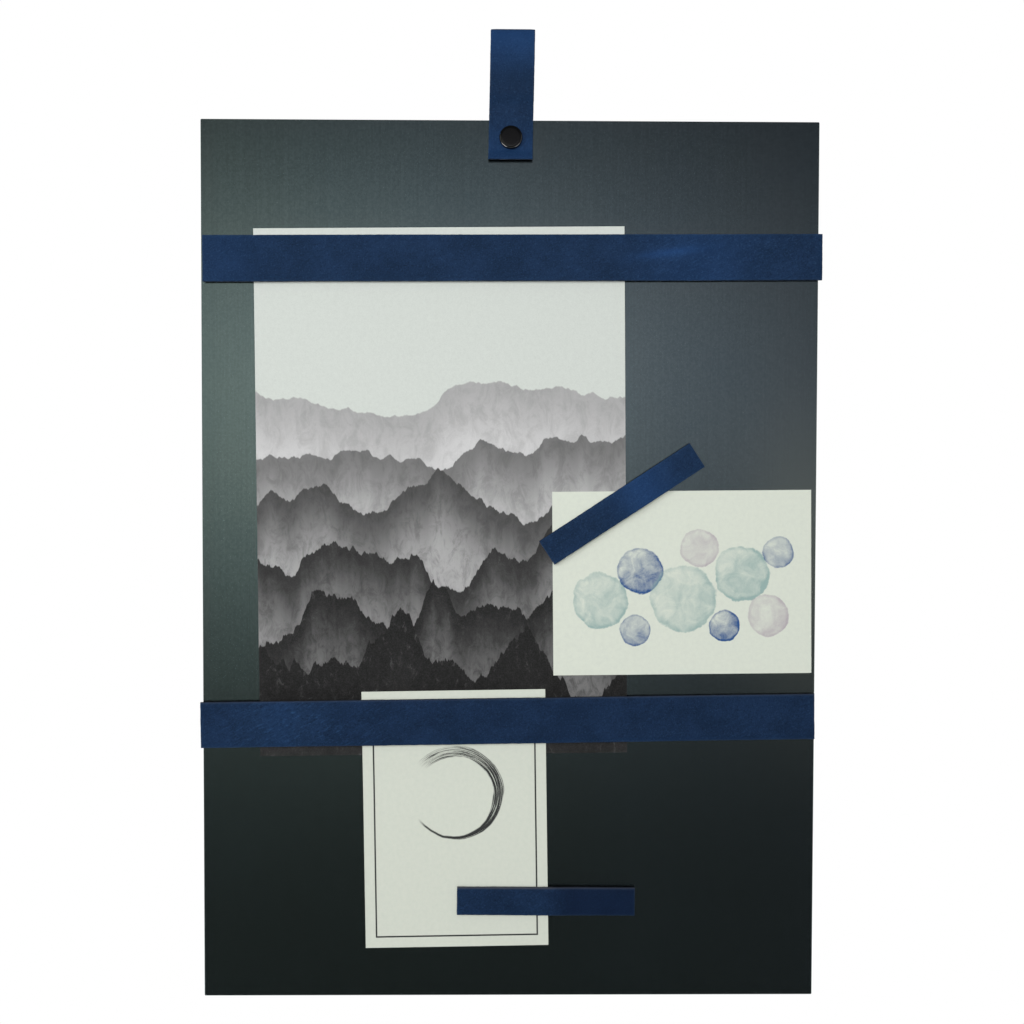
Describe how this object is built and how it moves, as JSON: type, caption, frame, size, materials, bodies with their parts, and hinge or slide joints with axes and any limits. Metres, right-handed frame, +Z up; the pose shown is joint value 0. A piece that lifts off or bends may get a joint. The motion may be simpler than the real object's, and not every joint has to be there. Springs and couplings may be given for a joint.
{
  "type": "magnetic board",
  "caption": "Flat steel magnetic board hung from a folded leather loop, with magnet-backed leather straps and strips that hold a print and cards against it.",
  "frame": {"origin": "where a hook carries the leather loop: the inside of the fold, centred on the loop's width and on the sheet's thickness", "axes": "+Z up, +X to the right seen from the front, and the board's display face looks along -Y"},
  "size_m": [0.3524, 0.012, 0.551],
  "materials": {
    "steel": "satin",
    "black_steel": "gloss",
    "leather": "satin",
    "magnet_tape": "matte",
    "print_paper": "matte",
    "card_paper": "matte"
  },
  "bodies": {
    "hanger": {"hanger_loop": "leather", "binding_post": "black_steel", "binding_screw": "black_steel"},
    "board": {"steel_board": "steel"},
    "top_strap": {"top_strap_leather": "leather", "top_strap_magnet": "magnet_tape"},
    "bottom_strap": {"bottom_strap_leather": "leather", "bottom_strap_magnet": "magnet_tape"},
    "upper_strip": {"upper_strip_leather": "leather", "upper_strip_magnet": "magnet_tape"},
    "lower_strip": {"lower_strip_leather": "leather", "lower_strip_magnet": "magnet_tape"},
    "print_sheet": {"art_print": "print_paper"},
    "landscape_sheet": {"landscape_card": "card_paper"},
    "portrait_sheet": {"portrait_card": "card_paper"}
  },
  "joints": [
    {"name": "board_swing", "type": "hinge", "parent": "hanger", "child": "board", "pos_m": [0, 0, -0.0591], "axis": [0, 1, 0], "range_deg": [-65, 65]},
    {"name": "top_strap_pull", "type": "slide", "parent": "board", "child": "top_strap", "axis": [0, -1, 0], "range_m": [0, 0.06]},
    {"name": "bottom_strap_pull", "type": "slide", "parent": "board", "child": "bottom_strap", "axis": [0, -1, 0], "range_m": [0, 0.06]},
    {"name": "upper_strip_pull", "type": "slide", "parent": "board", "child": "upper_strip", "axis": [0, -1, 0], "range_m": [0, 0.06]},
    {"name": "lower_strip_pull", "type": "slide", "parent": "board", "child": "lower_strip", "axis": [0, -1, 0], "range_m": [0, 0.06]},
    {"name": "print_slide", "type": "slide", "parent": "board", "child": "print_sheet", "axis": [-1, 0, 0], "range_m": [0, 0.26]},
    {"name": "landscape_card_slide", "type": "slide", "parent": "board", "child": "landscape_sheet", "axis": [1, 0, 0], "range_m": [0, 0.17]},
    {"name": "portrait_card_slide", "type": "slide", "parent": "board", "child": "portrait_sheet", "axis": [0, 0, -1], "range_m": [0, 0.19]}
  ]
}
